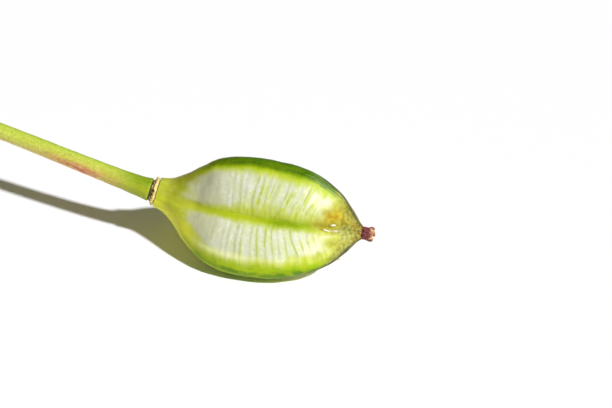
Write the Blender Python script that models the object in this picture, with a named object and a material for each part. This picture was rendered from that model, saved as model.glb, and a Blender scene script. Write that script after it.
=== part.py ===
"""A green tulip seed capsule on its cut stem, lying on a surface.

The capsule's axis runs along +X, from the scar ring at its base to the withered stigma at its tip, and +Z is
up. Round the axis the capsule has three blunt ridges with three broad faces between them. Each face has a
shallow groove down its middle, and to each side of it the edges of a stack of flat seeds press through the
wall as cross ribs. It rests on small flat spots under the two halves of its lowest face, and the stem, which
is light, rises a little from it. All lengths are in metres.
"""

import math

import bpy
from mathutils import Vector

MM = 0.001

# Capsule
CAPSULE_LENGTH = 47.0 * MM
CAPSULE_SIDES = 78
RIDGE_PROFILE = [
    (0.0 * MM, 3.25 * MM),
    (2.5 * MM, 4.05 * MM),
    (5.5 * MM, 6.55 * MM),
    (9.0 * MM, 9.85 * MM),
    (12.5 * MM, 12.2 * MM),
    (17.0 * MM, 14.05 * MM),
    (23.0 * MM, 14.9 * MM),
    (29.0 * MM, 14.75 * MM),
    (34.0 * MM, 13.95 * MM),
    (38.5 * MM, 11.9 * MM),
    (42.0 * MM, 9.0 * MM),
    (44.5 * MM, 5.4 * MM),
    (46.0 * MM, 2.6 * MM),
    (47.0 * MM, 1.45 * MM),
]
RIDGE_HEIGHTS = (0.94, 1.0, 1.0)  # top, front and rear ridge, as shares of the profile
RIDGE_SHIFTS = (0.25 * MM, -2.6 * MM, 0.0)  # how much nearer the tip each of them is fullest
SHIFT_TOWARDS_TIP = 1.5  # above 1, a ridge is shifted more on the tip's side
FACE_SHARE = 0.62  # distance of a flat face from the axis, as a share of the ridge's
FACE_BULGE = 0.05  # how far each half of a face swells out, as a share of the ridge's distance
GROOVE_DEPTH = 0.035  # also a share of the ridge's distance
GROOVE_HALF_ANGLE = math.radians(9.0)
ROUND_NECK = (1.5 * MM, 11.0 * MM)  # the section turns from round to three-sided between these stations
ROUND_TIP = (43.0 * MM, 47.0 * MM)
TIP_ROUNDNESS = 0.6
SHARP_EDGE = math.radians(70.0)

# Cross ribs over the seed stacks
SEED_PITCH = 1.4 * MM
FIRST_SEED = 17.5 * MM
LAST_SEED = 39.9 * MM
ROWS_PER_SEED = 2
NECK_ROWS = 11
BEAK_ROWS = 8
RIB_HEIGHT = 0.42 * MM
FIRST_RAKE = -0.8 * MM  # how much nearer the tip the first rib lies at the ridge than at the groove
LAST_RAKE = 3.0 * MM  # the same for the ribs from FULL_RAKE on
FULL_RAKE = 35.0 * MM
END_RAKE = 38.5 * MM
RIB_FADE = 2.5 * MM
RIB_NEAR_RIDGE = (math.radians(7.0), math.radians(17.0))
RIB_NEAR_GROOVE = (math.radians(6.0), math.radians(13.0))

# The neck bends to the front and upwards
NECK_BEND_LENGTH = 14.2 * MM
NECK_LEAN = math.radians(12.5)
NECK_RISE = math.radians(17.6)

# Where it lies
AXIS_HEIGHT = 9.66 * MM
GAP = 0.25 * MM  # between neighbouring pieces

# Scar ring, left where the petals and stamens fell
RING_THICKNESS = 0.9 * MM
RING_SIDES = 36
RING_PROFILE = [  # share of the thickness, radius, share of the scars' height
    (0.0, 2.75 * MM, 0.0),
    (0.16, 3.02 * MM, 0.4),
    (0.45, 3.14 * MM, 1.0),
    (0.72, 3.0 * MM, 0.7),
    (0.86, 2.72 * MM, 0.4),
    (1.0, 2.35 * MM, 0.0),
]
SCAR_HEIGHT = 0.11 * MM
SCAR_WAVES = [(12, 1.0, 0.0), (5, 0.5, 1.0)]  # how many round the ring, height share, phase

# Stem
STEM_SIDES = 16
STEM_STATIONS = 34
STEM_PINCH = [0.0, 0.006, 0.016]  # where its first rings are, before the even ones
STEM_EVEN_FROM = 0.03
STEM_END = Vector((-50.0 * MM, 5.0 * MM, 18.3 * MM))
STEM_START_PULL = 6.0 * MM
STEM_END_PULL = 16.0 * MM
STEM_END_RISE = math.radians(5.0)
STEM_PROFILE = [
    (0.0, 2.15 * MM),
    (0.012, 2.55 * MM),
    (0.05, 2.48 * MM),
    (0.14, 2.28 * MM),
    (0.30, 2.06 * MM),
    (0.60, 1.9 * MM),
    (1.0, 1.82 * MM),
]

# Withered stigma
STIGMA_LENGTH = 2.3 * MM
STIGMA_SIDES = 24
STIGMA_PROFILE = [
    (0.0, 1.28 * MM),
    (0.25, 1.34 * MM),
    (0.5, 1.42 * MM),
    (0.78, 1.4 * MM),
    (1.0, 1.22 * MM),
]
STIGMA_LOBE_DEPTH = 0.17
STIGMA_LOBE_WAVES = [(3, 1.0, 0.0), (9, 0.3, 0.6)]
STIGMA_CREST = 0.3 * MM
STIGMA_CREST_WAVES = [(3, 1.0, 0.0), (5, 0.5, 0.8)]
STIGMA_CUP = [(0.6, 0.88), (0.3, 0.66)]  # share of the rim's radius and of the length, inwards

COLOURS = {
    "capsule": ((0.42, 0.55, 0.08, 1.0), 0.35),
    "scar_ring": ((0.62, 0.48, 0.22, 1.0), 0.8),
    "stem": ((0.45, 0.55, 0.12, 1.0), 0.5),
    "stigma": ((0.32, 0.09, 0.07, 1.0), 0.75),
}


def clear_scene():
    for thing in list(bpy.data.objects):
        bpy.data.objects.remove(thing, do_unlink=True)


def ease(low, high, value):
    """0 below low, 1 above high and a smooth rise between."""
    share = min(1.0, max(0.0, (value - low) / (high - low)))
    return share * share * (3.0 - 2.0 * share)


def curve_value(points, at):
    """Smooth curve through (station, value) pairs, read at one station."""
    last = len(points) - 1
    at = min(max(at, points[0][0]), points[last][0])
    i = next((k for k in range(last) if at <= points[k + 1][0]), last - 1)

    def slope(k):
        before, after = points[max(k - 1, 0)], points[min(k + 1, last)]
        return (after[1] - before[1]) / (after[0] - before[0])

    (start, low), (end, high) = points[i], points[i + 1]
    span = end - start
    u = (at - start) / span
    return (
        (2 * u**3 - 3 * u**2 + 1) * low
        + (u**3 - 2 * u**2 + u) * span * slope(i)
        + (3 * u**2 - 2 * u**3) * high
        + (u**3 - u**2) * span * slope(i + 1)
    )


def waves_at(angle, waves):
    """Sum of waves round an axis, each given by its count, its height and its phase."""
    return sum(height * math.cos(count * angle + phase) for count, height, phase in waves)


def make_material(name):
    colour, roughness = COLOURS[name]
    material = bpy.data.materials.new(name)
    material.use_nodes = True
    shader = material.node_tree.nodes["Principled BSDF"]
    shader.inputs["Base Color"].default_value = colour
    shader.inputs["Roughness"].default_value = roughness
    shader.inputs["Metallic"].default_value = 0.0
    return material


def loft(name, rings):
    """A closed solid through rings of points, each with the same count, and its object."""
    sides = len(rings[0])
    points = [point for ring in rings for point in ring]
    faces = [list(range(sides))[::-1]]
    for row in range(len(rings) - 1):
        for k in range(sides):
            here, following = row * sides + k, row * sides + (k + 1) % sides
            faces.append([here, following, following + sides, here + sides])
    faces.append([(len(rings) - 1) * sides + k for k in range(sides)])
    mesh = bpy.data.meshes.new(name)
    mesh.from_pydata(points, [], faces)
    mesh.shade_smooth()
    mesh.set_sharp_from_angle(angle=SHARP_EDGE)
    mesh.materials.append(make_material(name))
    solid = bpy.data.objects.new(name, mesh)
    bpy.context.scene.collection.objects.link(solid)
    return solid


def outwards(along, angle):
    """Unit vector square to a direction. Angle 0 is towards +Z, and it turns by way of -Y."""
    up = (Vector((0, 0, 1)) - along * along.z).normalized()
    return up * math.cos(angle) - up.cross(along) * math.sin(angle)


def ring_of_points(centre, along, radius_at, sides, shift_at=None):
    """Points round a centre, square to a unit direction, and shifted along it where asked."""
    points = []
    for k in range(sides):
        angle = math.tau * k / sides
        shift = along * shift_at(angle) if shift_at else Vector()
        points.append(centre + shift + outwards(along, angle) * radius_at(angle))
    return points


def rest_on_surface(points):
    """Flattens what would lie below the surface into a small flat spot on it."""
    return [Vector((p.x, p.y, max(p.z, 0.0))) for p in points]


def neck_bend(station):
    """How far the axis has left the straight line at a station, from 1 at the base to 0."""
    return max(0.0, 1.0 - station / NECK_BEND_LENGTH)


def capsule_axis(station):
    """Point on the capsule's axis, and its direction towards the tip."""
    bend = neck_bend(station)
    sideways, upwards = -math.tan(NECK_LEAN), math.tan(NECK_RISE)
    travel = 0.5 * NECK_BEND_LENGTH * bend**2
    point = Vector((station, travel * sideways, AXIS_HEIGHT + travel * upwards))
    return point, Vector((1.0, -bend * sideways, -bend * upwards)).normalized()


def from_ridge(angle):
    """Angle from the nearest ridge, 0 to 60 degrees."""
    third = math.tau / 3
    return abs((angle + third / 2) % third - third / 2)


def between_ridges(angle, values):
    """A value that each ridge has of its own, blended round the axis."""
    weights = [max(0.0, math.cos(angle - k * math.tau / 3)) ** 2 for k in range(3)]
    return sum(w * v for w, v in zip(weights, values)) / sum(weights)


def three_sided(angle):
    """Distance from the axis to a rounded triangle with swollen, grooved faces, and ridges at 1."""
    power = math.log(2.0) / math.log(2.0 * FACE_SHARE)
    faces = [math.cos(angle - math.radians(60 + 120 * k)) for k in range(3)]
    flat = FACE_SHARE / sum(max(0.0, c) ** power for c in faces) ** (1.0 / power)
    off_groove = (math.radians(60) - from_ridge(angle)) / GROOVE_HALF_ANGLE
    swell = FACE_BULGE * math.sin(3.0 * angle) ** 2
    return flat + swell - GROOVE_DEPTH * math.exp(-(off_groove**2))


def rake(row, angle):
    """How far a row of the surface runs towards the tip from the groove out, to follow the ribs."""
    off_groove = math.radians(60) - from_ridge(angle)
    first = FIRST_RAKE * ease(0.0, FIRST_SEED, row)
    added = (LAST_RAKE - FIRST_RAKE) * ease(FIRST_SEED, FULL_RAKE, row)
    return (first + added) * (1.0 - ease(END_RAKE, CAPSULE_LENGTH, row)) * math.sin(1.5 * off_groove) ** 2


def rib(row, angle):
    """Height of the cross ribs: seeds of neighbouring stacks lie half a pitch apart."""
    off_ridge = from_ridge(angle)
    off_groove = math.radians(60) - off_ridge
    across = ease(*RIB_NEAR_RIDGE, off_ridge) * ease(*RIB_NEAR_GROOVE, off_groove)
    along = ease(FIRST_SEED, FIRST_SEED + RIB_FADE, row) * (1.0 - ease(LAST_SEED - RIB_FADE, LAST_SEED, row))
    stack = int(angle // math.radians(60)) % 2
    wave = math.cos(math.tau * ((row - FIRST_SEED) / SEED_PITCH + stack / 2.0))
    return 0.5 * RIB_HEIGHT * across * along * wave


def capsule_radius(station, angle):
    roundness = 1.0 - ease(*ROUND_NECK, station) + TIP_ROUNDNESS * ease(*ROUND_TIP, station)
    shape = roundness + (1.0 - roundness) * three_sided(angle) * between_ridges(angle, RIDGE_HEIGHTS)
    reach = math.sin(math.pi * (station / CAPSULE_LENGTH) ** SHIFT_TOWARDS_TIP) ** 2
    return curve_value(RIDGE_PROFILE, station - reach * between_ridges(angle, RIDGE_SHIFTS)) * shape


def capsule_point(row, angle):
    station = row + rake(row, angle)
    centre, along = capsule_axis(station)
    return centre + outwards(along, angle) * (capsule_radius(station, angle) + rib(row, angle))


def capsule_rows():
    """Even rows on the neck and the beak, and a few rows for each seed between."""
    count = round(ROWS_PER_SEED * (LAST_SEED - FIRST_SEED) / SEED_PITCH)
    neck = [FIRST_SEED * k / NECK_ROWS for k in range(NECK_ROWS)]
    seeds = [FIRST_SEED + k * SEED_PITCH / ROWS_PER_SEED for k in range(count)]
    beak = [LAST_SEED + (CAPSULE_LENGTH - LAST_SEED) * k / BEAK_ROWS for k in range(BEAK_ROWS + 1)]
    return neck + seeds + beak


def make_capsule():
    angles = [math.tau * k / CAPSULE_SIDES for k in range(CAPSULE_SIDES)]
    rings = [rest_on_surface([capsule_point(row, angle) for angle in angles]) for row in capsule_rows()]
    return loft("capsule", rings)


def make_scar_ring():
    """A corky ring with a knob for each petal and stamen that fell, on the stem side of the capsule."""
    base, along = capsule_axis(0.0)
    rings = []
    for share, radius, knobbly in reversed(RING_PROFILE):
        centre = base - along * (GAP + share * RING_THICKNESS)

        def radius_at(angle, radius=radius, height=SCAR_HEIGHT * knobbly):
            return radius + height * waves_at(angle, SCAR_WAVES)

        rings.append(ring_of_points(centre, along, radius_at, RING_SIDES))
    return loft("scar_ring", rings)


def stem_point(share):
    """Point and direction on the stem's line, from the scar ring at 0 to the cut end at 1."""
    base, along = capsule_axis(0.0)
    start = base - along * (2 * GAP + RING_THICKNESS)
    end = STEM_END
    heading = Vector((end.x - start.x, end.y - start.y, 0.0)).normalized()
    heading.z = math.tan(STEM_END_RISE)
    handles = [start, start - along * STEM_START_PULL, end - heading.normalized() * STEM_END_PULL, end]
    u = share
    weights = [(1 - u) ** 3, 3 * u * (1 - u) ** 2, 3 * u * u * (1 - u), u**3]
    slopes = [-3 * (1 - u) ** 2, 3 * (1 - u) ** 2 - 6 * u * (1 - u), 6 * u * (1 - u) - 3 * u * u, 3 * u * u]
    point = sum((h * w for h, w in zip(handles, weights)), Vector())
    direction = sum((h * w for h, w in zip(handles, slopes)), Vector())
    return point, direction.normalized()


def make_stem():
    """The stem swells towards the capsule and is pinched where it meets the scar ring."""
    step = (1.0 - STEM_EVEN_FROM) / (STEM_STATIONS - 1)
    shares = STEM_PINCH + [STEM_EVEN_FROM + step * k for k in range(STEM_STATIONS)]
    rings = []
    for share in reversed(shares):
        centre, direction = stem_point(share)
        radius = curve_value(STEM_PROFILE, share)
        rings.append(ring_of_points(centre, -direction, lambda a, r=radius: r, STEM_SIDES))
    return loft("stem", rings)


def stigma_ring(share, radius, lobe_depth, crest):
    """Points round the stigma at a share of its length, with three lobes, which rise into crests."""
    tip, along = capsule_axis(CAPSULE_LENGTH)
    centre = tip + along * (GAP + share * STIGMA_LENGTH)
    return ring_of_points(
        centre,
        along,
        lambda a: radius * (1.0 + lobe_depth * waves_at(a, STIGMA_LOBE_WAVES)),
        STIGMA_SIDES,
        lambda a: crest * waves_at(a, STIGMA_CREST_WAVES),
    )


def make_stigma():
    """Three withered crests over the ridges, round a small cup."""
    outside = [stigma_ring(s, r, STIGMA_LOBE_DEPTH * s, STIGMA_CREST * s * s) for s, r in STIGMA_PROFILE]
    rim = STIGMA_PROFILE[-1][1]
    cup = [stigma_ring(s, rim * w, STIGMA_LOBE_DEPTH, STIGMA_CREST * s * w) for w, s in STIGMA_CUP]
    return loft("stigma", outside + cup)


def centre_over_origin(pieces):
    """Moves the empty that carries the pieces, so that the middle of the footprint is over the origin."""
    carrier = bpy.data.objects.new("tulip_seed_capsule", None)
    bpy.context.scene.collection.objects.link(carrier)
    corners = [vertex.co for piece in pieces for vertex in piece.data.vertices]
    for piece in pieces:
        piece.parent = carrier
    carrier.location = (
        -(min(c.x for c in corners) + max(c.x for c in corners)) / 2,
        -(min(c.y for c in corners) + max(c.y for c in corners)) / 2,
        0.0,
    )
    return carrier


clear_scene()
centre_over_origin([make_capsule(), make_scar_ring(), make_stem(), make_stigma()])
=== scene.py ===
import math

import bpy
import numpy as np
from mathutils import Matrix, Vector, noise


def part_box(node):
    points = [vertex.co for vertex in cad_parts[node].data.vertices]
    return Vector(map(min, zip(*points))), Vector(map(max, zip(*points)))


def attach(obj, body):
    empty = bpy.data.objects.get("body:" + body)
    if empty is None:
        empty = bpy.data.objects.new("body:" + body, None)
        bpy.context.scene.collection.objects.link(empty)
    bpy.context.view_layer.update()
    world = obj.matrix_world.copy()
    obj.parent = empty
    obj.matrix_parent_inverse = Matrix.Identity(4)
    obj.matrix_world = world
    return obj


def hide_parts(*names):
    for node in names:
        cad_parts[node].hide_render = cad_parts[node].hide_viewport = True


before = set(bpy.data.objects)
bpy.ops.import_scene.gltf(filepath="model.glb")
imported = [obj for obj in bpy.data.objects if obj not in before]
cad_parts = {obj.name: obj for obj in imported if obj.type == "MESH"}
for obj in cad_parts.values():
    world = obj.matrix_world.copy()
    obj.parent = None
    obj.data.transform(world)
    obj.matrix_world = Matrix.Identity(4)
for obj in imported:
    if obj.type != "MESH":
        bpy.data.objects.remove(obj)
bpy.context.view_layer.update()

MM = 0.001
SEED = 11

# Capsule, to the same rule as the solid
CAPSULE_LENGTH = 47.0 * MM
RIDGE_PROFILE = [
    (0.0 * MM, 3.25 * MM),
    (2.5 * MM, 4.05 * MM),
    (5.5 * MM, 6.55 * MM),
    (9.0 * MM, 9.85 * MM),
    (12.5 * MM, 12.2 * MM),
    (17.0 * MM, 14.05 * MM),
    (23.0 * MM, 14.9 * MM),
    (29.0 * MM, 14.75 * MM),
    (34.0 * MM, 13.95 * MM),
    (38.5 * MM, 11.9 * MM),
    (42.0 * MM, 9.0 * MM),
    (44.5 * MM, 5.4 * MM),
    (46.0 * MM, 2.6 * MM),
    (47.0 * MM, 1.45 * MM),
]
RIDGE_HEIGHTS = (0.94, 1.0, 1.0)
RIDGE_SHIFTS = (0.25 * MM, -2.6 * MM, 0.0)
SHIFT_TOWARDS_TIP = 1.5
FACE_SHARE = 0.62
FACE_BULGE = 0.05
GROOVE_DEPTH = 0.035
GROOVE_HALF_ANGLE = 9.0
ROUND_NECK = (1.5 * MM, 11.0 * MM)
ROUND_TIP = (43.0 * MM, 47.0 * MM)
TIP_ROUNDNESS = 0.6
NECK_BEND_LENGTH = 14.2 * MM
NECK_LEAN = math.radians(12.5)
NECK_RISE = math.radians(17.6)
AXIS_HEIGHT = 9.66 * MM

# Its fine surface: rows along, columns round
CAPSULE_ROWS = 298
CAPSULE_COLUMNS = 324
TYPICAL_RADIUS = 12.0  # in mm, for markings that run round it

# Seeds under the wall
SEED_PITCH = 1.4 * MM
SEED_THICKNESS = 0.62 * MM
FIRST_SEED = 17.5 * MM
LAST_SEED = 39.9 * MM
SEED_JITTER = 0.3 * MM
FAR_EDGE = (0.8, 0.25)  # how strong a seed's edge towards the tip is, in even and in odd stacks
RIB_HEIGHT = 0.085 * MM
FIRST_RAKE = -0.8 * MM
LAST_RAKE = 3.0 * MM
FULL_RAKE = 35.0 * MM
END_RAKE = 38.5 * MM
RIB_FADE = 2.5 * MM
RIB_NEAR_RIDGE = (7.0, 17.0)
RIB_NEAR_GROOVE = (6.0, 13.0)

# Other relief
CREASE_DEPTH = 0.05 * MM
FLUTE_HEIGHT = 0.035 * MM
BEAK_WRINKLES = 0.06 * MM
NECK_WRINKLES = 0.012 * MM
SOFT_LUMPS = 0.10 * MM
FINE_LUMPS = 0.03 * MM
FLECK_HEIGHT = 0.16 * MM

# Folds at the tip's end of each groove: station in mm, degrees aside, half length, half width, tilt
FLECKS = [
    (40.5, 3.8, 0.85, 1.5, 1.6),
    (41.7, -9.5, 0.6, 2.0, -3.0),
    (42.2, 3.0, 0.7, 1.2, -1.5),
]

# Scar ring and gap
GAP = 0.25 * MM
RING_THICKNESS = 0.9 * MM
RING_PROFILE = [
    (0.0, 2.7 * MM),
    (0.08, 3.05 * MM),
    (0.3, 3.2 * MM),
    (0.48, 3.14 * MM),
    (0.6, 2.85 * MM),
    (0.7, 2.5 * MM),
    (0.85, 2.35 * MM),
    (1.0, 2.3 * MM),
]
RING_ROWS = 44
RING_COLUMNS = 260

# Stem, to the same rule as the solid
STEM_END = Vector((-50.0 * MM, 5.0 * MM, 18.3 * MM))
STEM_START_PULL = 6.0 * MM
STEM_END_PULL = 16.0 * MM
STEM_END_RISE = math.radians(5.0)
STEM_PROFILE = [
    (0.0, 2.15 * MM),
    (0.012, 2.55 * MM),
    (0.05, 2.48 * MM),
    (0.14, 2.28 * MM),
    (0.30, 2.06 * MM),
    (0.60, 1.9 * MM),
    (1.0, 1.82 * MM),
]
STEM_ROWS = 420
STEM_COLUMNS = 72
STEM_RIB = 0.008  # as a share of the radius
STEM_LUMPS = 0.05 * MM
CUT_DISH = 0.48 * MM

# Stigma: shares of its length, and radii in mm, up the outside and down into the cup
STIGMA_LENGTH = 2.3 * MM
STIGMA_OUTSIDE = [(0.0, 1.38), (0.2, 1.4), (0.45, 1.42), (0.7, 1.44), (0.9, 1.32), (1.0, 1.12)]
STIGMA_INSIDE = [(0.97, 0.98), (0.88, 0.72), (0.8, 0.45), (0.74, 0.2)]
STIGMA_ROWS = 70
STIGMA_COLUMNS = 200

# Camera, from the photograph's viewing angle
CAMERA_AZIMUTH = math.radians(17.89)
CAMERA_ELEVATION = math.radians(32.76)
CAMERA_DISTANCE = 315.66 * MM
CAMERA_ASIDE = 10.74 * MM  # the capsule lies left of the middle of the picture
CAMERA_ABOVE = 0.33 * MM
CAMERA_LENS = 85.0

# Light, from the front right
SUN_TOWARDS = Vector((0.95, -0.35, 1.0))
SUN_STRENGTH = 4.3
SUN_ANGLE = math.radians(4.0)
SUN_COLOUR = (0.95, 0.945, 1.0)
SKY_STRENGTH = 0.15
SKY_COLOUR = (1.0, 0.95, 0.68)
FLOOR_COLOUR = (0.95, 0.955, 0.97)
FLOOR_HALF = 3.0


# Helpers for shapes
def ease(low, high, value):
    """0 up to low, 1 from high on, and smooth between them."""
    share = np.clip((value - low) / (high - low), 0.0, 1.0)
    return share * share * (3.0 - 2.0 * share)


def hump(middle, half_width, value):
    """1 at the middle, about a third at the half width, and soon 0."""
    return np.exp(-(((value - middle) / half_width) ** 2))


def span(start, full, fading, gone, value):
    """0 up to start, 1 from full to fading, and 0 again from gone on."""
    return ease(start, full, value) * (1.0 - ease(fading, gone, value))


def curve_value(points, at):
    """Smooth curve through (station, value) pairs, read at many stations."""
    stations, values = np.array(points).T
    slopes = np.empty_like(values)
    slopes[1:-1] = (values[2:] - values[:-2]) / (stations[2:] - stations[:-2])
    slopes[0] = (values[1] - values[0]) / (stations[1] - stations[0])
    slopes[-1] = (values[-1] - values[-2]) / (stations[-1] - stations[-2])
    at = np.clip(at, stations[0], stations[-1])
    i = np.clip(np.searchsorted(stations, at) - 1, 0, len(stations) - 2)
    step = stations[i + 1] - stations[i]
    u = (at - stations[i]) / step
    return (
        (2 * u**3 - 3 * u**2 + 1) * values[i]
        + (u**3 - 2 * u**2 + u) * step * slopes[i]
        + (3 * u**2 - 2 * u**3) * values[i + 1]
        + (u**3 - u**2) * step * slopes[i + 1]
    )


def lumps(points, size, seed=0.0):
    """Cloudy values of about -0.5 to 0.5 at points in space, with lumps of one size."""
    shift = Vector((seed, 0.37 * seed, -0.71 * seed))
    values = [noise.noise(Vector(p) + shift) for p in points.reshape(-1, 3) / size]
    return np.array(values).reshape(points.shape[:-1])


def outwards(along, angle):
    """Unit vectors square to directions. Angle 0 is towards +Z, and it turns by way of -Y."""
    up = np.array((0.0, 0.0, 1.0)) - along * along[..., 2:3]
    up /= np.linalg.norm(up, axis=-1, keepdims=True)
    return up * np.cos(angle)[..., None] - np.cross(up, along) * np.sin(angle)[..., None]


def closed_piece(name, grid, fields):
    """A closed mesh through a grid of points whose columns go all the way round, with named values."""
    rows, columns = grid.shape[:2]
    points = list(grid.reshape(-1, 3))
    here = np.arange(rows * columns).reshape(rows, columns)
    around = np.roll(here, -1, axis=1)
    faces = np.stack([here[:-1], around[:-1], around[1:], here[1:]], axis=-1).reshape(-1, 4).tolist()
    values = {key: list(np.broadcast_to(value, (rows, columns)).ravel()) for key, value in fields.items()}
    for row in (0, rows - 1):
        middle = len(points)
        points.append(grid[row].mean(axis=0))
        for value in values.values():
            value.append(float(np.mean(value[row * columns:(row + 1) * columns])))
        for k in range(columns):
            pair = (here[row, k], here[row, (k + 1) % columns])
            faces.append([*(pair if row else pair[::-1]), middle])
    mesh = bpy.data.meshes.new(name)
    mesh.from_pydata(points, [], faces)
    for key, value in values.items():
        mesh.attributes.new(key, "FLOAT", "POINT").data.foreach_set("value", value)
    mesh.shade_smooth()
    piece = bpy.data.objects.new(name, mesh)
    bpy.context.scene.collection.objects.link(piece)
    return piece


def dress(piece, node, material):
    """Puts a finished piece in the place of its node."""
    piece.data.materials.append(material)
    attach(piece, "root")
    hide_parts(node)


# Capsule
def capsule_axis(station):
    """Points and directions on the capsule's axis, straight but for the bend of the neck."""
    bend = np.maximum(0.0, 1.0 - station / NECK_BEND_LENGTH)
    sideways, upwards = -math.tan(NECK_LEAN), math.tan(NECK_RISE)
    travel = 0.5 * NECK_BEND_LENGTH * bend**2
    point = np.stack([station, travel * sideways, AXIS_HEIGHT + travel * upwards], axis=-1)
    along = np.stack([np.ones_like(station), -bend * sideways, -bend * upwards], axis=-1)
    return point, along / np.linalg.norm(along, axis=-1, keepdims=True)


def between_ridges(angle, values):
    """A value at each angle from the top, front and rear ridges' own."""
    weights = [np.maximum(0.0, np.cos(angle - k * math.tau / 3)) ** 2 for k in range(3)]
    return sum(w * v for w, v in zip(weights, values)) / sum(weights)


def off_groove(angle):
    """Degrees from the middle of the nearest face, 0 at the groove and 60 at a ridge."""
    return 60.0 - np.abs((np.degrees(angle) + 60.0) % 120.0 - 60.0)


def three_sided(angle):
    """The cross-section's radius as a share of the ridges'."""
    power = math.log(2.0) / math.log(2.0 * FACE_SHARE)
    faces = [np.cos(angle - math.radians(60 + 120 * k)) for k in range(3)]
    flat = FACE_SHARE / sum(np.maximum(0.0, c) ** power for c in faces) ** (1.0 / power)
    swell = FACE_BULGE * np.sin(3.0 * angle) ** 2
    return flat + swell - GROOVE_DEPTH * hump(0.0, GROOVE_HALF_ANGLE, off_groove(angle))


def capsule_radius(station, angle):
    roundness = 1.0 - ease(*ROUND_NECK, station) + TIP_ROUNDNESS * ease(*ROUND_TIP, station)
    shape = roundness + (1.0 - roundness) * three_sided(angle) * between_ridges(angle, RIDGE_HEIGHTS)
    reach = np.sin(math.pi * (np.clip(station, 0.0, None) / CAPSULE_LENGTH) ** SHIFT_TOWARDS_TIP) ** 2
    return curve_value(RIDGE_PROFILE, station - reach * between_ridges(angle, RIDGE_SHIFTS)) * shape


def rake(row, angle):
    """How far a row runs towards the tip from the groove out, to follow the seeds."""
    first = FIRST_RAKE * ease(0.0, FIRST_SEED, row)
    added = (LAST_RAKE - FIRST_RAKE) * ease(FIRST_SEED, FULL_RAKE, row)
    fade = 1.0 - ease(END_RAKE, CAPSULE_LENGTH, row)
    return (first + added) * fade * np.sin(1.5 * np.radians(off_groove(angle))) ** 2


def capsule_place():
    """The way from the capsule's own frame to its solid, by the middles of their footprints."""
    low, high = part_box("capsule")
    rows, turns = np.linspace(0.0, CAPSULE_LENGTH, 95), np.linspace(0.0, math.tau, 181)
    row, angle = np.meshgrid(rows, turns, indexing="ij")
    station = row + rake(row, angle)
    centre, along = capsule_axis(station)
    grid = centre + outwards(along, angle) * capsule_radius(station, angle)[..., None]
    middle = (grid.reshape(-1, 3).min(axis=0) + grid.reshape(-1, 3).max(axis=0)) / 2
    return np.array(((low.x + high.x) / 2 - middle[0], (low.y + high.y) / 2 - middle[1], 0.0))


PLACE = capsule_place()


def seed_edges(row, angle):
    """Where the flat seeds lie under the wall: a broad swelling over each, and a thin line at each edge."""
    chance = np.random.default_rng(SEED)
    count = round((LAST_SEED - FIRST_SEED) / SEED_PITCH)
    swelling, line = np.zeros_like(row), np.zeros_like(row)
    stacks = (np.degrees(angle) // 60).astype(int)
    across = off_groove(angle)
    for stack in range(6):
        inside = stacks == stack
        odd = stack % 2
        for i in range(count):
            middle = FIRST_SEED + (i + 0.5 * odd) * SEED_PITCH
            middle += chance.uniform(-1, 1) * SEED_JITTER
            swelling += inside * hump(middle, 0.42 * MM, row)
            for side in (-0.5, 0.5):
                strength = chance.uniform(0.45, 1.0) * (1.0 if side < 0 else FAR_EDGE[odd])
                lean = chance.uniform(-0.014, 0.014) * MM
                wave = chance.uniform(0.08, 0.2) * MM
                wave = wave * np.sin(np.radians(across * 7.0) + chance.uniform(0, 6.3))
                starts, ends = chance.uniform(-6.0, 20.0), chance.uniform(24.0, 62.0)
                reach = span(starts, starts + 7.0, ends, ends + 7.0, across)
                off = row - middle - side * SEED_THICKNESS - lean * (across - 30.0) - wave
                edge = hump(0.0, chance.uniform(0.1, 0.17) * MM, off) + 0.25 * hump(0.0, 0.38 * MM, off)
                line += inside * reach * strength * edge
    return swelling, np.clip(line, 0.0, 1.0)


def flecks(station, angle, growth):
    """Little folds at the end of each face's groove, 1 on them, larger where growth is above 1."""
    aside = np.degrees(angle) % 120.0 - 60.0
    folds = np.zeros_like(station)
    for middle, turned, half_length, half_width, tilt in FLECKS:
        along = station / MM - middle
        off = aside - turned - tilt * along
        folds += hump(0.0, growth * half_length, along) * hump(0.0, growth * half_width, off)
    return np.clip(folds, 0.0, 1.0)


def capsule_relief(row, angle, station, swelling):
    """How far the fine surface stands out: seed ribs, grooves' creases, flutes by the ridges and wrinkles."""
    across = off_groove(angle)
    where = ease(*RIB_NEAR_RIDGE, 60.0 - across) * ease(*RIB_NEAR_GROOVE, across)
    where *= span(FIRST_SEED, FIRST_SEED + RIB_FADE, LAST_SEED - RIB_FADE, LAST_SEED, row)
    ribs = RIB_HEIGHT * where * (swelling - 0.5)
    mm = station / MM
    crease = -CREASE_DEPTH * hump(0.0, 1.6, across) * span(13.0, 17.0, 42.0, 45.0, mm)
    flutes = FLUTE_HEIGHT * np.cos(np.radians((60.0 - across) * 95.0)) * hump(60.0, 11.0, across)
    flutes *= span(26.0, 36.0, 43.0, 46.0, mm)
    beak = BEAK_WRINKLES * np.cos(21.0 * angle + 1.3 * mm) * ease(41.0, 45.0, mm)
    neck = NECK_WRINKLES * np.cos(18.0 * angle) * (1.0 - ease(6.0, 12.0, mm))
    return ribs + crease + flutes + beak + neck + FLECK_HEIGHT * flecks(station, angle, 1.0)


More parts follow.
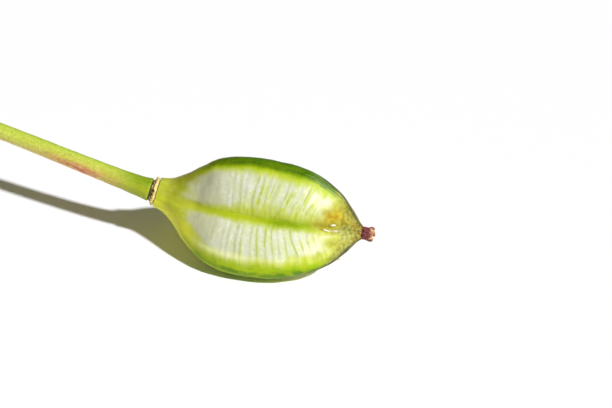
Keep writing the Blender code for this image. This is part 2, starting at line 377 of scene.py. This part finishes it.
class Wall:
    """Where each point of the wall is, in mm and degrees, and cloudy values that make its markings uneven."""

    def __init__(self, row, angle, station):
        degrees = np.degrees(angle)
        turned = (degrees + 180.0) % 360.0 - 180.0
        self.angle = angle
        self.station = station
        self.row = row / MM
        self.mm = station / MM
        self.across = off_groove(angle)
        self.aside = degrees % 120.0 - 60.0
        self.from_top = np.abs(turned)
        self.lower = ease(50.0, 70.0, self.from_top)
        # Degrees past the nearest ridge, on its rear side or its underside
        self.beyond = np.where(self.from_top < 60.0, -turned, self.from_top - 120.0)
        upwards, forwards = TYPICAL_RADIUS * np.cos(angle), TYPICAL_RADIUS * np.sin(angle)
        self.turn = np.stack([self.mm, upwards, forwards], axis=-1)
        self.wander = lumps(self.turn * (1.0, 0.35, 0.35), 1.1, 3.0)
        self.wander += 0.6 * lumps(self.turn * (1.0, 0.3, 0.3), 0.45, 7.0)
        self.cloud = lumps(self.turn, 3.0, 1.0)
        self.broad = lumps(self.turn * (1.0, 0.5, 0.5), 2.6, 13.0) + 0.5 * self.wander

    def by_half(self, upper, lower):
        """One value on the upper halves of the faces, and another on the lower."""
        return (1.0 - self.lower) * upper + self.lower * lower


def window_mask(w):
    """The see-through wall over the seeds, on both sides of each groove, with uneven edges."""
    upper = 47.0 - 11.0 * (1.0 - ease(4.0, 11.0, w.mm)) - 2.5 * ease(22.0, 28.0, w.mm)
    lower = 44.5 - 17.0 * (1.0 - ease(6.0, 20.0, w.mm))
    lower -= 1.5 * ease(22.0, 27.0, w.mm) + 3.0 * ease(31.0, 37.0, w.mm)
    ragged = 1.5 * w.broad + 2.5 * w.wander * ease(20.0, 26.0, w.mm)
    outside = ease(-4.5, 4.5, w.across - w.by_half(upper, lower) + ragged)
    first = w.by_half(4.0, 6.0)
    full = w.by_half(10.0 + 21.0 * ease(15.0, 28.0, w.mm), 12.0 + 4.0 * ease(17.0, 24.0, w.mm))
    ragged = w.by_half(5.0, 2.5) * w.wander * ease(14.0, 25.0, w.mm) + 2.0 * w.cloud
    off_stripe = ease(first, full, w.across + ragged)
    past_neck = ease(4.5, 12.0, w.mm + 3.0 * w.cloud)
    past_tip = ease(38.8, 42.0, w.mm + 2.5 * w.cloud)
    return (1.0 - outside) * off_stripe * past_neck * (1.0 - past_tip)


def window_masks(w, line):
    """The windows, with the lines that the seeds draw in them and their lighter places."""
    shown = 0.3 + 0.7 * ease(-0.22, 0.12, lumps(w.turn, 2.2, 21.0))
    shown *= (0.55 + 0.45 * ease(20.0, 27.0, w.mm)) * span(19.3, 21.6, 37.6, 39.6, w.mm)
    fading = 1.0 - 0.5 * ease(22.0, 27.0, w.mm) - 0.5 * ease(33.0, 38.0, w.mm)
    return {
        "window": window_mask(w),
        "seeds": line * shown,
        "pale": ease(13.6, 19.4, w.mm + 2.5 * w.cloud + 1.2 * w.wander),
        "lit": 0.8 * hump(43.5, 2.6, w.across) * w.lower * ease(10.0, 15.0, w.mm) * fading,
        "cream": hump(14.0, 3.2, w.mm) * hump(12.0, 7.0, w.across) * (1.0 - w.lower),
        "bright": hump(38.4, 1.8, w.mm + 1.5 * w.wander) * hump(34.0, 11.0, w.across),
        "yolk": ease(34.5, 39.5, w.mm) * hump(8.0, 22.0, w.across),
    }


def green_masks(w):
    """The green band along each ridge with its dark core, and the green stripe along each groove."""
    stripe_width = 5.6 + 1.6 * ease(23.0, 30.0, w.mm)
    stripe = hump(2.2, stripe_width, w.aside + 1.3 * w.wander * ease(14.0, 25.0, w.mm) + 2.0 * w.cloud)
    band = ease(46.0, 52.5, w.across + 1.6 * w.broad)
    core = ease(w.by_half(49.5, 53.0), w.by_half(55.0, 57.0), w.across + 1.8 * w.broad)
    # painted light: the core is lighter near the lower ridges' crests towards the neck, as a bright rim
    core *= 1.0 - 0.75 * w.lower * ease(55.0, 60.0, w.across) * (1.0 - ease(26.0, 34.0, w.mm))
    return {
        "stripe": stripe * span(6.0, 15.0, 35.0, 40.5, w.mm),
        "deep": ease(23.0, 29.0, w.mm),
        "band": band * span(5.0, 14.0, w.by_half(40.5, 42.5), w.by_half(43.5, 45.5), w.mm),
        "core": core * ease(5.0, 14.0, w.mm),
        # painted shade: picks the top ridge, and partly the rear one, for darker green
        "top": between_ridges(w.angle, (1.0, 0.0, 0.4)),
    }


def neck_masks(w):
    """The neck, with painted shade on top and painted light below, and faint olive marks beyond it."""
    olive = hump(9.0, 3.4, w.mm) * hump(3.0, 8.0, w.across)
    olive += 0.5 * w.lower * hump(16.8, 0.35, w.row) * hump(28.0, 9.0, w.across)
    return {
        "neck": 1.0 - ease(6.0, 15.0, w.mm),
        "shade": hump(0.0, 20.0, w.from_top) * span(1.0, 7.0, 10.0, 14.0, w.mm),
        # painted light: the neck's underside made brighter
        "under": ease(78.0, 108.0, w.from_top) * (1.0 - ease(9.0, 15.0, w.mm)),
        "olive": olive,
    }


def tip_masks(w):
    """The pointed end, with its ochre patch, brown folds, painted highlights along fine creases, painted
    glints on the folds, and a dark line just past each ridge.
    """
    patch_middle = 42.8 - 2.8 * hump(0.0, 20.0, w.across)
    ochre = hump(patch_middle, 1.9, w.mm + 2.0 * w.cloud) * hump(25.0, 21.0, w.across)
    brown = hump(39.9, 2.0, w.mm) * hump(2.0, 8.0, w.across) * (1.0 - 0.6 * w.lower)
    brown += 0.8 * hump(41.9, 0.8, w.mm) * hump(10.5, 2.5, w.aside)
    brown += 0.9 * flecks(w.station, w.angle, 1.9)
    off_crease = np.abs((60.0 - w.across + 4.0 * w.cloud) % 3.6 - 1.8)
    # painted highlight: light lines along the fine creases by the top ridge
    creases = hump(0.0, 0.75, off_crease) * hump(56.0, 6.0, w.across) * (1.0 - w.lower)
    # A dark line just past each ridge, on its rear or lower side, spreading over the ridge towards the tip
    nearer = w.beyond + 3.0 * w.lower * ease(38.0, 42.0, w.mm) + 9.0 * ease(42.5, 45.5, w.mm)
    edge = ease(-0.5, 2.5, nearer) * (1.0 - ease(9.0, 13.0, w.beyond))
    return {
        "beak": ease(39.6, 44.0, w.mm + 4.0 * w.cloud),
        "end": ease(44.6, 46.4, w.mm),
        "tips": hump(60.0, 13.0, w.across) * ease(40.0, 43.5, w.mm),
        "ochre": ochre * (1.0 - 0.8 * w.lower),
        "brown": np.clip(brown, 0.0, 1.0),
        # painted highlight: white glints on the little folds
        "painted_glint": ease(0.35, 0.75, flecks(w.station, w.angle, 1.0)),
        "creases": creases * span(34.0, 37.5, 42.0, 43.5, w.mm),
        "edge": edge * ease(35.5, 40.0, w.mm) * (1.0 - 0.4 * ease(44.8, 46.2, w.mm)),
    }


def capsule_masks(w, line):
    """What is where on the wall, from 0 to 1, and the coordinates that streaks run by, for the finish."""
    return {
        "row": w.row,
        "turn_up": w.turn[..., 1],
        "turn_forward": w.turn[..., 2],
        "lower": w.lower,
        **window_masks(w, line),
        **green_masks(w),
        **neck_masks(w),
        **tip_masks(w),
    }


def make_capsule():
    """The capsule's wall with all its relief, flat where it rests."""
    row, angle = np.meshgrid(
        np.linspace(0.0, CAPSULE_LENGTH, CAPSULE_ROWS),
        np.arange(CAPSULE_COLUMNS) * math.tau / CAPSULE_COLUMNS,
        indexing="ij",
    )
    station = row + rake(row, angle)
    swelling, line = seed_edges(row, angle)
    centre, along = capsule_axis(station)
    outward = outwards(along, angle)
    radius = capsule_radius(station, angle) + capsule_relief(row, angle, station, swelling)
    grid = centre + outward * radius[..., None]
    uneven = SOFT_LUMPS * lumps(grid, 3.2 * MM) + FINE_LUMPS * lumps(grid, 0.9 * MM, 5.0)
    grid += outward * uneven[..., None]
    grid[..., 2] = np.maximum(grid[..., 2], 0.0)
    grid += PLACE
    masks = capsule_masks(Wall(row, angle, station), line)
    dress(closed_piece("capsule_wall", grid, masks), "capsule", wall_material())


# Helpers for materials
class Finish:
    """One material, and short names for the nodes that it is made of."""

    def __init__(self, name):
        self.material = bpy.data.materials.new(name)
        self.material.use_nodes = True
        self.tree = self.material.node_tree
        self.shader = self.tree.nodes["Principled BSDF"]
        self.place = self.add("ShaderNodeTexCoord").outputs["Object"]

    def add(self, kind, **settings):
        node = self.tree.nodes.new(kind)
        for key, value in settings.items():
            setattr(node, key, value)
        return node

    def put(self, socket, value):
        """A link from another node, or a plain number or colour."""
        if isinstance(value, bpy.types.NodeSocket):
            self.tree.links.new(value, socket)
        elif isinstance(value, tuple) and len(value) == 3 and socket.type == "RGBA":
            socket.default_value = (*value, 1.0)
        else:
            socket.default_value = value

    def mask(self, name):
        return self.add("ShaderNodeAttribute", attribute_type="GEOMETRY", attribute_name=name).outputs["Fac"]

    def math(self, operation, first, second=0.0):
        node = self.add("ShaderNodeMath", operation=operation, use_clamp=True)
        self.put(node.inputs[0], first)
        self.put(node.inputs[1], second)
        return node.outputs[0]

    def times(self, first, second):
        return self.math("MULTIPLY", first, second)

    def stretch(self, value, low, high, bottom=0.0, top=1.0):
        """What goes from low to high made to go from bottom to top, and held there beyond."""
        node = self.add("ShaderNodeMapRange", interpolation_type="SMOOTHSTEP")
        sockets = ("Value", "From Min", "From Max", "To Min", "To Max")
        for socket, given in zip(sockets, (value, low, high, bottom, top)):
            self.put(node.inputs[socket], given)
        return node.outputs["Result"]

    def noise(self, vector, scale, size, low, high, detail, seed):
        mapping = self.add("ShaderNodeMapping")
        self.put(mapping.inputs["Vector"], vector)
        mapping.inputs["Location"].default_value = (seed, seed, seed)
        mapping.inputs["Scale"].default_value = scale
        texture = self.add("ShaderNodeTexNoise")
        self.put(texture.inputs["Vector"], mapping.outputs[0])
        texture.inputs["Scale"].default_value = 1.0 / size
        texture.inputs["Detail"].default_value = detail
        return self.stretch(texture.outputs["Fac"], low, high)

    def grain(self, size, low=0.35, high=0.65, scale=(1.0, 1.0, 1.0), detail=3.0, seed=0.0):
        """Cloudy 0 to 1 with lumps of a size in metres, longer along an axis whose scale is below 1."""
        return self.noise(self.place, scale, size, low, high, detail, seed)

    def streaks(self, width, length, low=0.35, high=0.65, seed=0.0):
        """The same in streaks of a width and length in millimetres, which run round with the seeds."""
        joined = self.add("ShaderNodeCombineXYZ")
        for socket, name in zip(joined.inputs, ("row", "turn_up", "turn_forward")):
            self.put(socket, self.mask(name))
        scale = (1.0 / width, 1.0 / length, 1.0 / length)
        return self.noise(joined.outputs[0], scale, 1.0, low, high, 2.0, seed)

    def dots(self, size, low, high, randomness=1.0):
        """Round specks about one size apart: 1 in a speck and 0 outside."""
        texture = self.add("ShaderNodeTexVoronoi")
        self.put(texture.inputs["Vector"], self.place)
        texture.inputs["Scale"].default_value = 1.0 / size
        texture.inputs["Randomness"].default_value = randomness
        return self.stretch(texture.outputs["Distance"], low, high, 1.0, 0.0)

    def mix(self, share, under, over):
        node = self.add("ShaderNodeMix", data_type="RGBA")
        self.put(node.inputs["Factor"], share)
        self.put(node.inputs[6], under)
        self.put(node.inputs[7], over)
        return node.outputs[2]

    def tint(self, colour, name, strength, over):
        """A colour with some of another over it where a mask is."""
        return self.mix(self.times(self.mask(name), strength), colour, over)

    def bump(self, height, strength, distance):
        node = self.add("ShaderNodeBump")
        node.inputs["Strength"].default_value = strength
        node.inputs["Distance"].default_value = distance
        self.put(node.inputs["Height"], height)
        self.put(self.shader.inputs["Normal"], node.outputs[0])

    def finish(self, **values):
        """Sets the shader's own sockets, with spaces for underscores in their names."""
        for key, value in values.items():
            self.put(self.shader.inputs[key.replace("_", " ")], value)
        return self.material


def seed_glass(f):
    """The see-through wall over the seeds: grey towards the neck, white and lined from there on."""
    grey = f.mix(f.mask("lower"), (0.58, 0.59, 0.40), (0.64, 0.65, 0.40))
    smudge = f.times(f.grain(2.2 * MM, 0.42, 0.66, (1.2, 0.6, 0.6), seed=3.0), 0.5)
    grey = f.mix(smudge, grey, (0.40, 0.42, 0.27))
    white = f.mix(f.grain(0.7 * MM, seed=9.0), (0.66, 0.70, 0.43), (0.77, 0.78, 0.64))
    white = f.mix(f.times(f.streaks(0.5, 2.5), 0.4), white, (0.62, 0.67, 0.34))
    white = f.mix(f.times(f.streaks(1.3, 4.0, seed=8.0), 0.4), white, (0.63, 0.65, 0.56))
    glass = f.mix(f.mask("pale"), grey, white)
    glass = f.tint(glass, "bright", 0.9, (0.92, 0.90, 0.60))
    glass = f.tint(glass, "yolk", 0.6, (0.72, 0.72, 0.22))
    lines = f.mix(f.streaks(0.8, 5.0, seed=2.0), (0.40, 0.53, 0.0), (0.58, 0.66, 0.02))
    return f.mix(f.mask("seeds"), glass, lines)


def stripe_green(f):
    """Green along the grooves, deeper from the middle of the capsule on."""
    stripe = f.mix(f.mask("deep"), (0.41, 0.49, 0.02), (0.22, 0.34, 0.0))
    return f.mix(f.times(f.grain(1.6 * MM, scale=(0.4, 1.0, 1.0)), 0.5), stripe, (0.44, 0.54, 0.0))


def ridge_green(f):
    """Green along the ridges, with painted shade making the top one darkest, and patchy on the others."""
    light = f.mix(f.grain(1.6 * MM, scale=(0.4, 1.0, 1.0)), (0.26, 0.42, 0.0), (0.42, 0.56, 0.004))
    # painted shade: the top ridge's darker greens
    top = f.mix(f.mask("pale"), (0.12, 0.18, 0.0), (0.055, 0.14, 0.0))
    dark = f.mix(f.mask("top"), (0.11, 0.25, 0.0), top)
    others = f.math("SUBTRACT", 1.0, f.mask("top"))
    patches = f.times(others, f.grain(2.0 * MM, 0.46, 0.6, (0.6, 1.0, 1.0), seed=18.0))
    dark = f.mix(f.times(patches, 0.5), dark, (0.44, 0.56, 0.01))
    dark = f.mix(f.times(f.grain(1.2 * MM, 0.4, 0.7, (0.25, 1.0, 1.0)), 0.3), dark, (0.24, 0.38, 0.0))
    return f.mix(f.mask("core"), light, dark)


def beak_olive(f):
    """The olive ground of the pointed end, mottled and specked, and brown at its very end."""
    beak = f.mix(f.mask("lower"), (0.19, 0.17, 0.0), (0.42, 0.41, 0.07))
    mottle = f.mix(f.grain(0.7 * MM, seed=6.0), (0.18, 0.19, 0.01), (0.54, 0.56, 0.16))
    beak = f.mix(0.55, beak, mottle)
    beak = f.mix(f.times(f.dots(0.6 * MM, 0.08, 0.24), 0.7), beak, (0.22, 0.13, 0.02))
    return f.mix(f.times(f.mask("end"), f.grain(0.6 * MM, 0.4, 0.62)), beak, (0.22, 0.12, 0.02))


def tip_marks(f, colour):
    """The pointed end over the wall's colour: olive, ochre patch, brown folds, painted highlights along
    creases, painted glints and dark lines past the ridges.
    """
    colour = f.mix(f.mask("beak"), colour, beak_olive(f))
    ochre = f.mix(f.grain(0.9 * MM), (0.42, 0.22, 0.0), (0.56, 0.46, 0.02))
    colour = f.tint(colour, "ochre", 0.9, ochre)
    brown = f.mix(f.grain(0.6 * MM), (0.24, 0.16, 0.0), (0.40, 0.36, 0.01))
    colour = f.tint(colour, "brown", 0.85, brown)
    dull = f.stretch(f.grain(0.7 * MM, seed=16.0), 0.0, 1.0, 0.3, 0.7)
    colour = f.tint(colour, "tips", dull, (0.12, 0.15, 0.005))
    # painted highlight along the fine creases
    colour = f.tint(colour, "creases", 0.3, (0.72, 0.82, 0.42))
    # painted glints: white highlights on the little folds
    colour = f.tint(colour, "painted_glint", 0.9, (0.97, 0.95, 0.86))
    # a dark line just past each ridge, uneven in strength
    dark_line_share = f.stretch(f.grain(0.5 * MM, seed=14.0), 0.0, 1.0, 0.65, 0.95)
    return f.tint(colour, "edge", dark_line_share, (0.06, 0.06, 0.035))


def wall_flesh(f):
    """The yellow-green wall itself, with darker streaks along the neck, painted light on the neck's underside
    and painted shade on its top.
    """
    neck = f.mix(f.grain(2.5 * MM), (0.41, 0.45, 0.02), (0.51, 0.54, 0.06))
    neck = f.mix(f.mask("lower"), neck, (0.59, 0.63, 0.035))
    streaks = f.grain(0.7 * MM, scale=(0.25, 1.0, 1.0), seed=19.0)
    neck = f.mix(f.times(streaks, 0.4), neck, (0.36, 0.40, 0.02))
    flesh = f.mix(f.streaks(0.7, 6.0, seed=5.0), (0.50, 0.59, 0.04), (0.62, 0.68, 0.12))
    flesh = f.mix(f.mask("neck"), flesh, neck)
    # painted light on the neck's underside
    flesh = f.mix(f.mask("under"), flesh, (0.84, 0.85, 0.05))
    return f.tint(flesh, "shade", 0.8, (0.28, 0.29, 0.01))


def wall_material():
    """The capsule's wall, with what shows through it and on it."""
    f = Finish("capsule_wall")
    colour = f.mix(f.mask("window"), wall_flesh(f), seed_glass(f))
    colour = f.tint(colour, "lit", 0.8, (0.90, 0.93, 0.46))
    colour = f.tint(colour, "cream", 0.7, (0.68, 0.69, 0.36))
    colour = f.tint(colour, "olive", 0.6, (0.36, 0.38, 0.03))
    colour = f.mix(f.mask("stripe"), colour, stripe_green(f))
    colour = f.mix(f.mask("band"), colour, ridge_green(f))
    specks = f.grain(0.32 * MM, 0.5, 0.7, seed=12.0)
    colour = f.mix(f.times(specks, 0.16), colour, (0.42, 0.48, 0.08))
    colour = tip_marks(f, colour)
    f.bump(f.grain(0.22 * MM, 0.2, 0.8, (0.5, 1.0, 1.0), 2.0), 0.2, 0.05 * MM)
    return f.finish(
        Base_Color=colour,
        Roughness=f.stretch(f.grain(2.5 * MM), 0.0, 1.0, 0.38, 0.5),
        Specular_IOR_Level=0.15,
        Subsurface_Weight=0.2,
        Subsurface_Radius=(1.0, 1.0, 0.35),
        Subsurface_Scale=0.7 * MM,
    )


# Stem
def stem_line(share):
    """Points and directions on the stem's line, from the scar ring at 0 to the cut end at 1."""
    base, along = (v[0] for v in capsule_axis(np.zeros(1)))
    start = base - along * (2 * GAP + RING_THICKNESS)
    end = np.array(STEM_END)
    heading = np.array((end[0] - start[0], end[1] - start[1], 0.0))
    heading /= np.linalg.norm(heading)
    heading[2] = math.tan(STEM_END_RISE)
    heading /= np.linalg.norm(heading)
    handles = [start, start - along * STEM_START_PULL, end - heading * STEM_END_PULL, end]
    u = share[..., None]
    weights = [(1 - u) ** 3, 3 * u * (1 - u) ** 2, 3 * u * u * (1 - u), u**3]
    slopes = [-3 * (1 - u) ** 2, 3 * (1 - u) ** 2 - 6 * u * (1 - u), 6 * u * (1 - u) - 3 * u * u, 3 * u * u]
    point = sum(h * w for h, w in zip(handles, weights))
    direction = sum(h * w for h, w in zip(handles, slopes))
    return point, direction / np.linalg.norm(direction, axis=-1, keepdims=True)


def stem_side():
    """The stalk's finely ribbed side, with each point's share of the length and its angle."""
    shares = np.concatenate([np.linspace(0.0, 0.03, 30)[:-1], np.linspace(0.03, 1.0, STEM_ROWS)])[::-1]
    share, angle = np.meshgrid(shares, np.arange(STEM_COLUMNS) * math.tau / STEM_COLUMNS, indexing="ij")
    point, direction = stem_line(share)
    outward = outwards(-direction, angle)
    ribs = STEM_RIB * np.cos(9.0 * angle + 5.0 * share) + 0.75 * STEM_RIB * np.cos(14.0 * angle - 3.0 * share)
    side = point + outward * (curve_value(STEM_PROFILE, share) * (1.0 + ribs))[..., None]
    side += outward * (STEM_LUMPS * lumps(side, 2.5 * MM, 9.0))[..., None]
    return side, direction[0, 0], share, angle


def stem_marks(share, angle):
    """What is where on the stem's side, each from 0 to 1, for the finish."""

    def facing(degrees, low, high):
        return ease(low, high, np.cos(angle - math.radians(degrees)))

    return {
        "green": 1.0 - ease(0.08, 0.34, share),
        # painted shade in the gap by the scar ring
        "stem_gap_shade": 1.0 - ease(0.006, 0.014, share),
        "upper": facing(-15.0, 0.1, 0.95),
        "crown": facing(-57.0, 0.35, 0.9),
        "blush": hump(0.43, 0.15, share) * facing(125.0, 0.1, 0.85),
        # painted light on the low side, over its own pinkish tint
        "low": ease(0.2, 0.5, share) * facing(150.0, 0.25, 0.95),
        "warm": hump(0.36, 0.24, share) * facing(114.6, -0.6, 0.9),
    }


def make_stem():
    """The stem, with a cut end that shows the pith and its strands."""
    side, direction, share, angle = stem_side()
    out = np.linspace(0.0, 0.985, 26)[1:, None] * np.ones(STEM_COLUMNS)
    middle = side[0].mean(axis=0)
    dish = CUT_DISH * (out**2 - 1.0) * (1.0 - out)
    cut = middle + (side[0] - middle) * out[..., None] + direction * dish[..., None]
    grid = np.concatenate([cut, side]) + PLACE
    fields = {
        "cut": np.concatenate([np.ones_like(out), np.zeros_like(share)]),
        "out": np.concatenate([out, np.ones_like(share)]),
    }
    for name, mark in stem_marks(share, angle).items():
        fields[name] = np.concatenate([np.zeros_like(out), mark])
    dress(closed_piece("stem_stalk", grid, fields), "stem", stem_material())


def cut_pith(f):
    """The cut end: pale pith with darker strands, and a green skin round it."""
    pith = f.mix(f.grain(0.4 * MM), (0.62, 0.66, 0.30), (0.78, 0.80, 0.46))
    pith = f.mix(f.dots(0.62 * MM, 0.16, 0.26, 0.75), pith, (0.42, 0.47, 0.12))
    return f.mix(f.stretch(f.mask("out"), 0.86, 0.97), pith, (0.30, 0.38, 0.04))


def stem_material():
    """The stem's skin, greener towards the capsule, with a red blush and painted light on its low side,
    painted shade beside the scar ring, and its cut end.
    """
    f = Finish("stem_stalk")
    fibres = f.grain(0.5 * MM, 0.3, 0.7, (0.3, 1.0, 1.0))
    warm = f.mix(fibres, (0.62, 0.48, 0.09), (0.68, 0.62, 0.12))
    colour = f.mix(fibres, (0.58, 0.66, 0.06), (0.70, 0.77, 0.12))
    colour = f.tint(colour, "upper", 0.7, (0.44, 0.58, 0.04))
    colour = f.tint(colour, "warm", 0.7, warm)
    # the low side's pale pink: partly its own tint, partly painted light
    colour = f.tint(colour, "low", 0.7, (0.96, 0.66, 0.26))
    colour = f.tint(colour, "crown", 0.7, (0.26, 0.42, 0.01))
    colour = f.mix(f.times(f.grain(0.5 * MM, 0.46, 0.62, seed=5.0), 0.45), colour, (0.42, 0.48, 0.03))
    colour = f.mix(f.times(f.grain(0.4 * MM, 0.5, 0.64, seed=7.0), 0.35), colour, (0.86, 0.86, 0.30))
    green = f.mix(f.mask("upper"), (0.34, 0.41, 0.01), (0.17, 0.29, 0.0))
    green = f.mix(f.times(fibres, 0.5), green, (0.40, 0.46, 0.03))
    colour = f.mix(f.mask("green"), colour, green)
    blotches = f.grain(0.9 * MM, 0.34, 0.52, (0.5, 1.0, 1.0), seed=2.0)
    colour = f.tint(colour, "blush", blotches, f.mix(fibres, (0.62, 0.15, 0.09), (0.86, 0.42, 0.18)))
    colour = f.mix(f.times(f.dots(0.9 * MM, 0.05, 0.16), 0.6), colour, (0.34, 0.34, 0.05))
    # painted shade where the stem meets the gap by the scar ring
    colour = f.mix(f.mask("stem_gap_shade"), colour, (0.10, 0.08, 0.02))
    colour = f.mix(f.mask("cut"), colour, cut_pith(f))
    f.bump(fibres, 0.3, 0.06 * MM)
    return f.finish(
        Base_Color=colour,
        Roughness=f.stretch(fibres, 0.0, 1.0, 0.45, 0.58),
        Specular_IOR_Level=0.35,
        Subsurface_Weight=0.15,
        Subsurface_Radius=(1.0, 1.0, 0.35),
        Subsurface_Scale=0.7 * MM,
    )


# Scar ring
def make_scar_ring():
    """The corky scar ring: a knobbly cream lip, and a ragged groove on its stem side, dark with painted
    shade.
    """
    turns = np.arange(RING_COLUMNS) * math.tau / RING_COLUMNS
    share, angle = np.meshgrid(np.linspace(1.0, 0.0, RING_ROWS), turns, indexing="ij")
    base, along = (v[0] for v in capsule_axis(np.zeros(1)))
    length = RING_THICKNESS + 1.6 * GAP  # over most of the gap on each side
    wander = 0.09 * np.cos(5 * angle + 0.4) + 0.07 * np.cos(11 * angle + 2.0) + 0.05 * np.cos(19 * angle)
    radius = curve_value(RING_PROFILE, np.clip(share + wander * np.sin(math.pi * share), 0.0, 1.0))
    centre = base - along * (0.2 * GAP + share * length)[..., None]
    outward = outwards(np.broadcast_to(along, share.shape + (3,)), angle)
    grid = centre + outward * radius[..., None]
    rough = 0.16 * MM * lumps(grid, 0.7 * MM, 1.0) + 0.08 * MM * lumps(grid, 0.3 * MM, 4.0)
    knobs = 0.08 * MM * np.cos(12 * angle) * hump(0.38, 0.25, share)
    grid += outward * (rough + knobs)[..., None] + PLACE
    # painted shade in the groove on the stem side
    groove = ease(0.7, 0.78, share + 2.2 * wander)
    dress(closed_piece("scar_collar", grid, {"groove": groove}), "scar_ring", scar_material())


def scar_material():
    """Cream cork with brown specks, and painted shade in the groove on the stem's side."""
    f = Finish("scar_collar")
    cork = f.mix(f.grain(0.6 * MM), (0.62, 0.44, 0.10), (0.90, 0.74, 0.32))
    cork = f.mix(f.times(f.dots(0.7 * MM, 0.1, 0.28), 0.8), cork, (0.26, 0.15, 0.03))
    # painted shade for the groove
    gap_shade = f.mix(f.grain(0.4 * MM), (0.035, 0.03, 0.01), (0.20, 0.17, 0.03))
    f.bump(f.grain(0.12 * MM, 0.2, 0.8), 0.6, 0.05 * MM)
    return f.finish(Base_Color=f.mix(f.mask("groove"), cork, gap_shade), Roughness=0.85)


# Stigma
def make_stigma():
    """Three withered, frilled crests round a small cup."""
    shares, radii = np.array(STIGMA_OUTSIDE + STIGMA_INSIDE).T
    knots = np.arange(len(shares))
    steps, around = np.meshgrid(
        np.linspace(0, knots[-1], STIGMA_ROWS),
        np.arange(STIGMA_COLUMNS) * math.tau / STIGMA_COLUMNS,
        indexing="ij",
    )
    height = np.interp(steps, knots, shares)
    radius = np.interp(steps, knots, radii) * MM
    lobes = 0.15 * np.cos(3 * around) + 0.06 * np.cos(7 * around + 0.9) + 0.05 * np.cos(13 * around + 2.1)
    frill = height**1.3
    tip, along = (v[0] for v in capsule_axis(np.full(1, CAPSULE_LENGTH)))
    rise = STIGMA_LENGTH * height + 0.24 * MM * frill * (np.cos(3 * around) + 0.5 * np.cos(8 * around + 0.5))
    centre = tip + along * (0.2 * GAP + rise)[..., None]
    outward = outwards(np.broadcast_to(along, around.shape + (3,)), around)
    grid = centre + outward * (radius * (1.0 + lobes * frill))[..., None]
    rough = 0.3 * MM * lumps(grid, 0.8 * MM, 2.0) + 0.14 * MM * lumps(grid, 0.35 * MM, 6.0)
    grid += outward * (rough * (0.35 + 0.65 * frill))[..., None] + PLACE
    edge = ease(0.62, 1.02, height + 0.12 * np.cos(3 * around) + 0.1 * np.cos(7 * around))
    dress(closed_piece("stigma_crest", grid, {"edge": edge}), "stigma", stigma_material())


def stigma_material():
    """Maroon, with tan along the frilled edge."""
    f = Finish("stigma_crest")
    maroon = f.mix(f.grain(0.5 * MM), (0.10, 0.014, 0.02), (0.30, 0.07, 0.06))
    tan = f.mix(f.grain(0.3 * MM), (0.48, 0.20, 0.07), (0.84, 0.58, 0.26))
    share = f.times(f.mask("edge"), f.grain(0.7 * MM, 0.36, 0.58, seed=4.0))
    f.bump(f.grain(0.15 * MM, 0.2, 0.8), 0.5, 0.06 * MM)
    return f.finish(Base_Color=f.mix(share, maroon, tan), Roughness=0.7)


# Stage, light and camera
def make_floor():
    mesh = bpy.data.meshes.new("floor")
    half = FLOOR_HALF
    corners = [(-half, -half, 0), (half, -half, 0), (half, half, 0), (-half, half, 0)]
    mesh.from_pydata(corners, [], [(0, 1, 2, 3)])
    floor = bpy.data.objects.new("floor", mesh)
    bpy.context.scene.collection.objects.link(floor)
    f = Finish("floor")
    mesh.materials.append(f.finish(Base_Color=FLOOR_COLOUR, Roughness=0.9))


def make_light():
    """A sun that casts the photograph's shadow, and a weak warm sky."""
    world = bpy.data.worlds.new("studio")
    bpy.context.scene.world = world
    world.use_nodes = True
    background = world.node_tree.nodes["Background"]
    background.inputs["Color"].default_value = (*SKY_COLOUR, 1.0)
    background.inputs["Strength"].default_value = SKY_STRENGTH
    lamp = bpy.data.lights.new("key", "SUN")
    lamp.energy = SUN_STRENGTH
    lamp.angle = SUN_ANGLE
    lamp.color = SUN_COLOUR
    key = bpy.data.objects.new("key", lamp)
    key.rotation_euler = SUN_TOWARDS.to_track_quat("Z", "Y").to_euler()
    bpy.context.scene.collection.objects.link(key)


def make_camera():
    low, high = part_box("capsule")
    azimuth, elevation = CAMERA_AZIMUTH, CAMERA_ELEVATION
    back = Vector((
        math.sin(azimuth) * math.cos(elevation),
        -math.cos(azimuth) * math.cos(elevation),
        math.sin(elevation),
    ))
    right = Vector((math.cos(azimuth), math.sin(azimuth), 0.0))
    up = back.cross(right)
    data = bpy.data.cameras.new("camera")
    data.lens = CAMERA_LENS
    data.clip_start = 0.01
    camera = bpy.data.objects.new("camera", data)
    camera.location = (low + high) / 2 + back * CAMERA_DISTANCE + right * CAMERA_ASIDE + up * CAMERA_ABOVE
    camera.rotation_euler = (math.radians(90.0) - elevation, 0.0, azimuth)
    bpy.context.scene.collection.objects.link(camera)
    bpy.context.scene.camera = camera


make_camera()
make_light()
make_floor()
make_capsule()
make_stem()
make_scar_ring()
make_stigma()
bpy.context.scene.view_settings.view_transform = "Standard"

bpy.context.view_layer.update()
